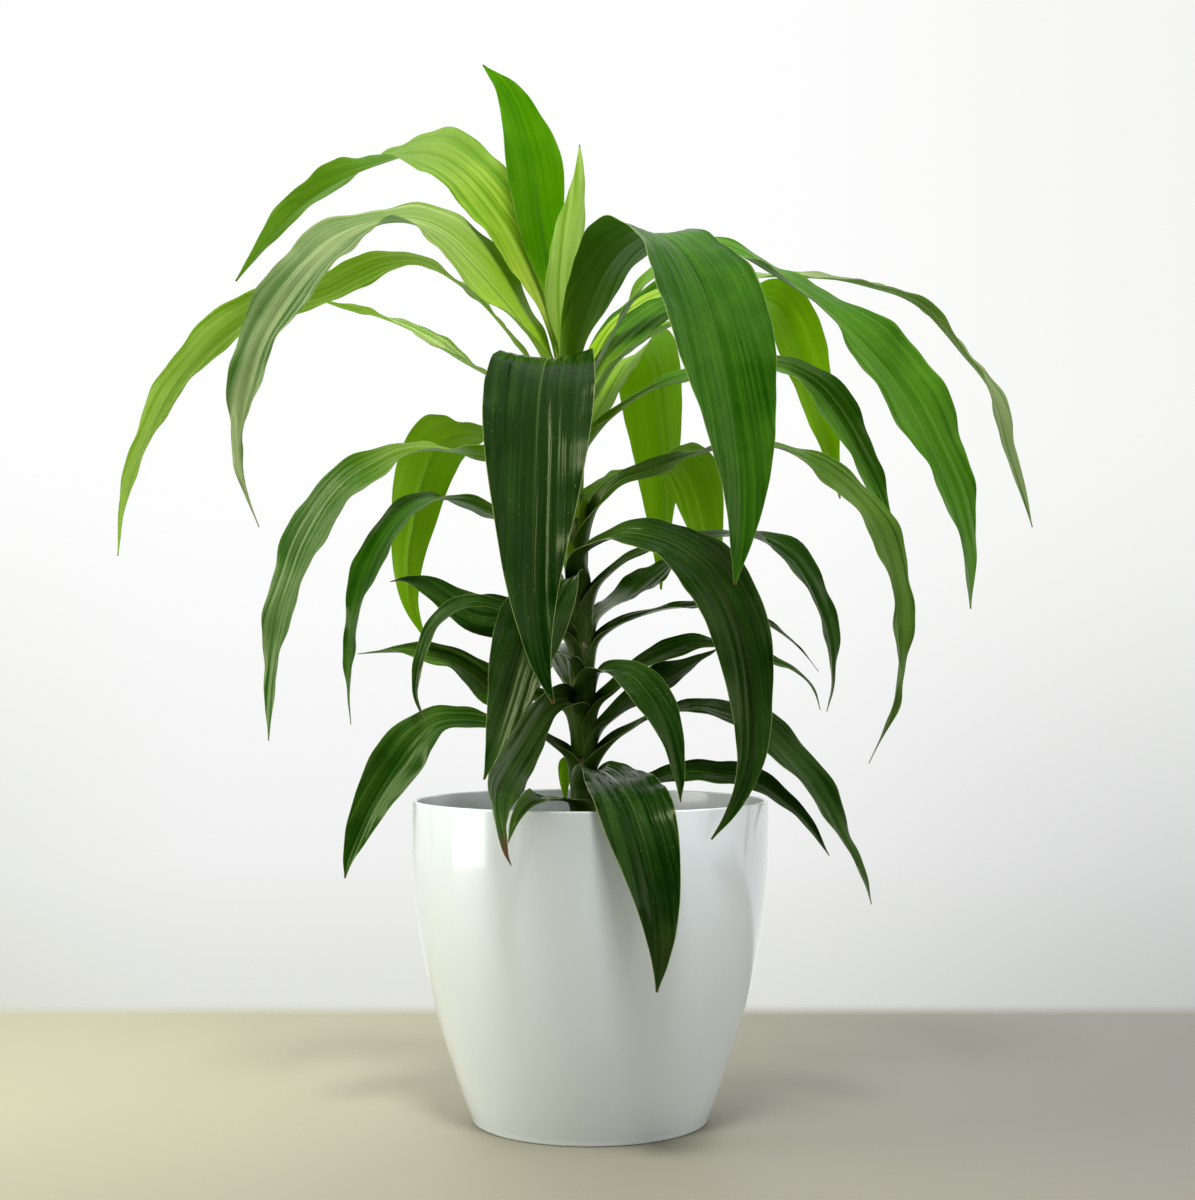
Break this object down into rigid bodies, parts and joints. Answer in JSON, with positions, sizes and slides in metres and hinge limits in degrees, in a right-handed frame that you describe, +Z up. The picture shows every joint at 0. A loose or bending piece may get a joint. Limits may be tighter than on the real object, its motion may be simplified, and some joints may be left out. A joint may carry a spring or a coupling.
{
  "type": "potted janet craig dracaena",
  "caption": "Potted Janet Craig dracaena: an upright cane with long strap leaves that arch out and droop, growing from soil in a round white planter that narrows to a flat foot.",
  "frame": {"origin": "centre of the pot's flat underside, on the pot's axis", "axes": "+Z up along the pot's axis; +X to the right and +Y to the back as the plant is seen from its front"},
  "size_m": [0.594, 0.3605, 0.6693],
  "materials": {
    "pot": "glossy white",
    "soil": "loose matte potting mix",
    "stem": "matte ringed bark",
    "leaf": "satin dark green, ribbed lengthwise",
    "young_leaf": "satin bright yellow-green, striped lengthwise"
  },
  "bodies": {
    "root": {"pot": "pot", "soil": "soil", "stem": "stem", "leaf_spear": "young_leaf", "leaf_unfurling": "young_leaf", "leaf_arch_left": "young_leaf", "leaf_tall_left": "leaf", "leaf_pale_left": "young_leaf", "leaf_thin_left": "young_leaf", "leaf_front_broad": "leaf", "leaf_right_broad": "leaf", "leaf_right_inner": "leaf", "leaf_right_long": "leaf", "leaf_right_thin": "leaf", "leaf_right_back": "leaf", "leaf_right_mid": "leaf", "leaf_right_trailing": "leaf", "leaf_back_bright": "leaf", "leaf_back_low": "leaf", "leaf_right_hanging": "leaf", "leaf_right_slender": "leaf", "leaf_right_short": "leaf", "leaf_right_wisp": "leaf", "leaf_right_flat": "leaf", "leaf_right_stub": "leaf", "leaf_front_right": "leaf", "leaf_right_low": "leaf", "leaf_right_bottom": "leaf", "leaf_over_rim": "leaf", "leaf_rim_curl": "leaf", "leaf_back_small": "leaf", "leaf_front_left": "leaf", "leaf_left_bottom": "leaf", "leaf_front_drooping": "leaf", "leaf_front_stub": "leaf", "leaf_left_low": "leaf", "leaf_left_rolled": "leaf", "leaf_left_curl": "leaf", "leaf_left_big": "leaf", "leaf_left_back": "leaf", "leaf_left_hanging": "leaf", "leaf_back_hidden_high": "leaf", "leaf_back_hidden_low": "leaf"}
  },
  "joints": []
}
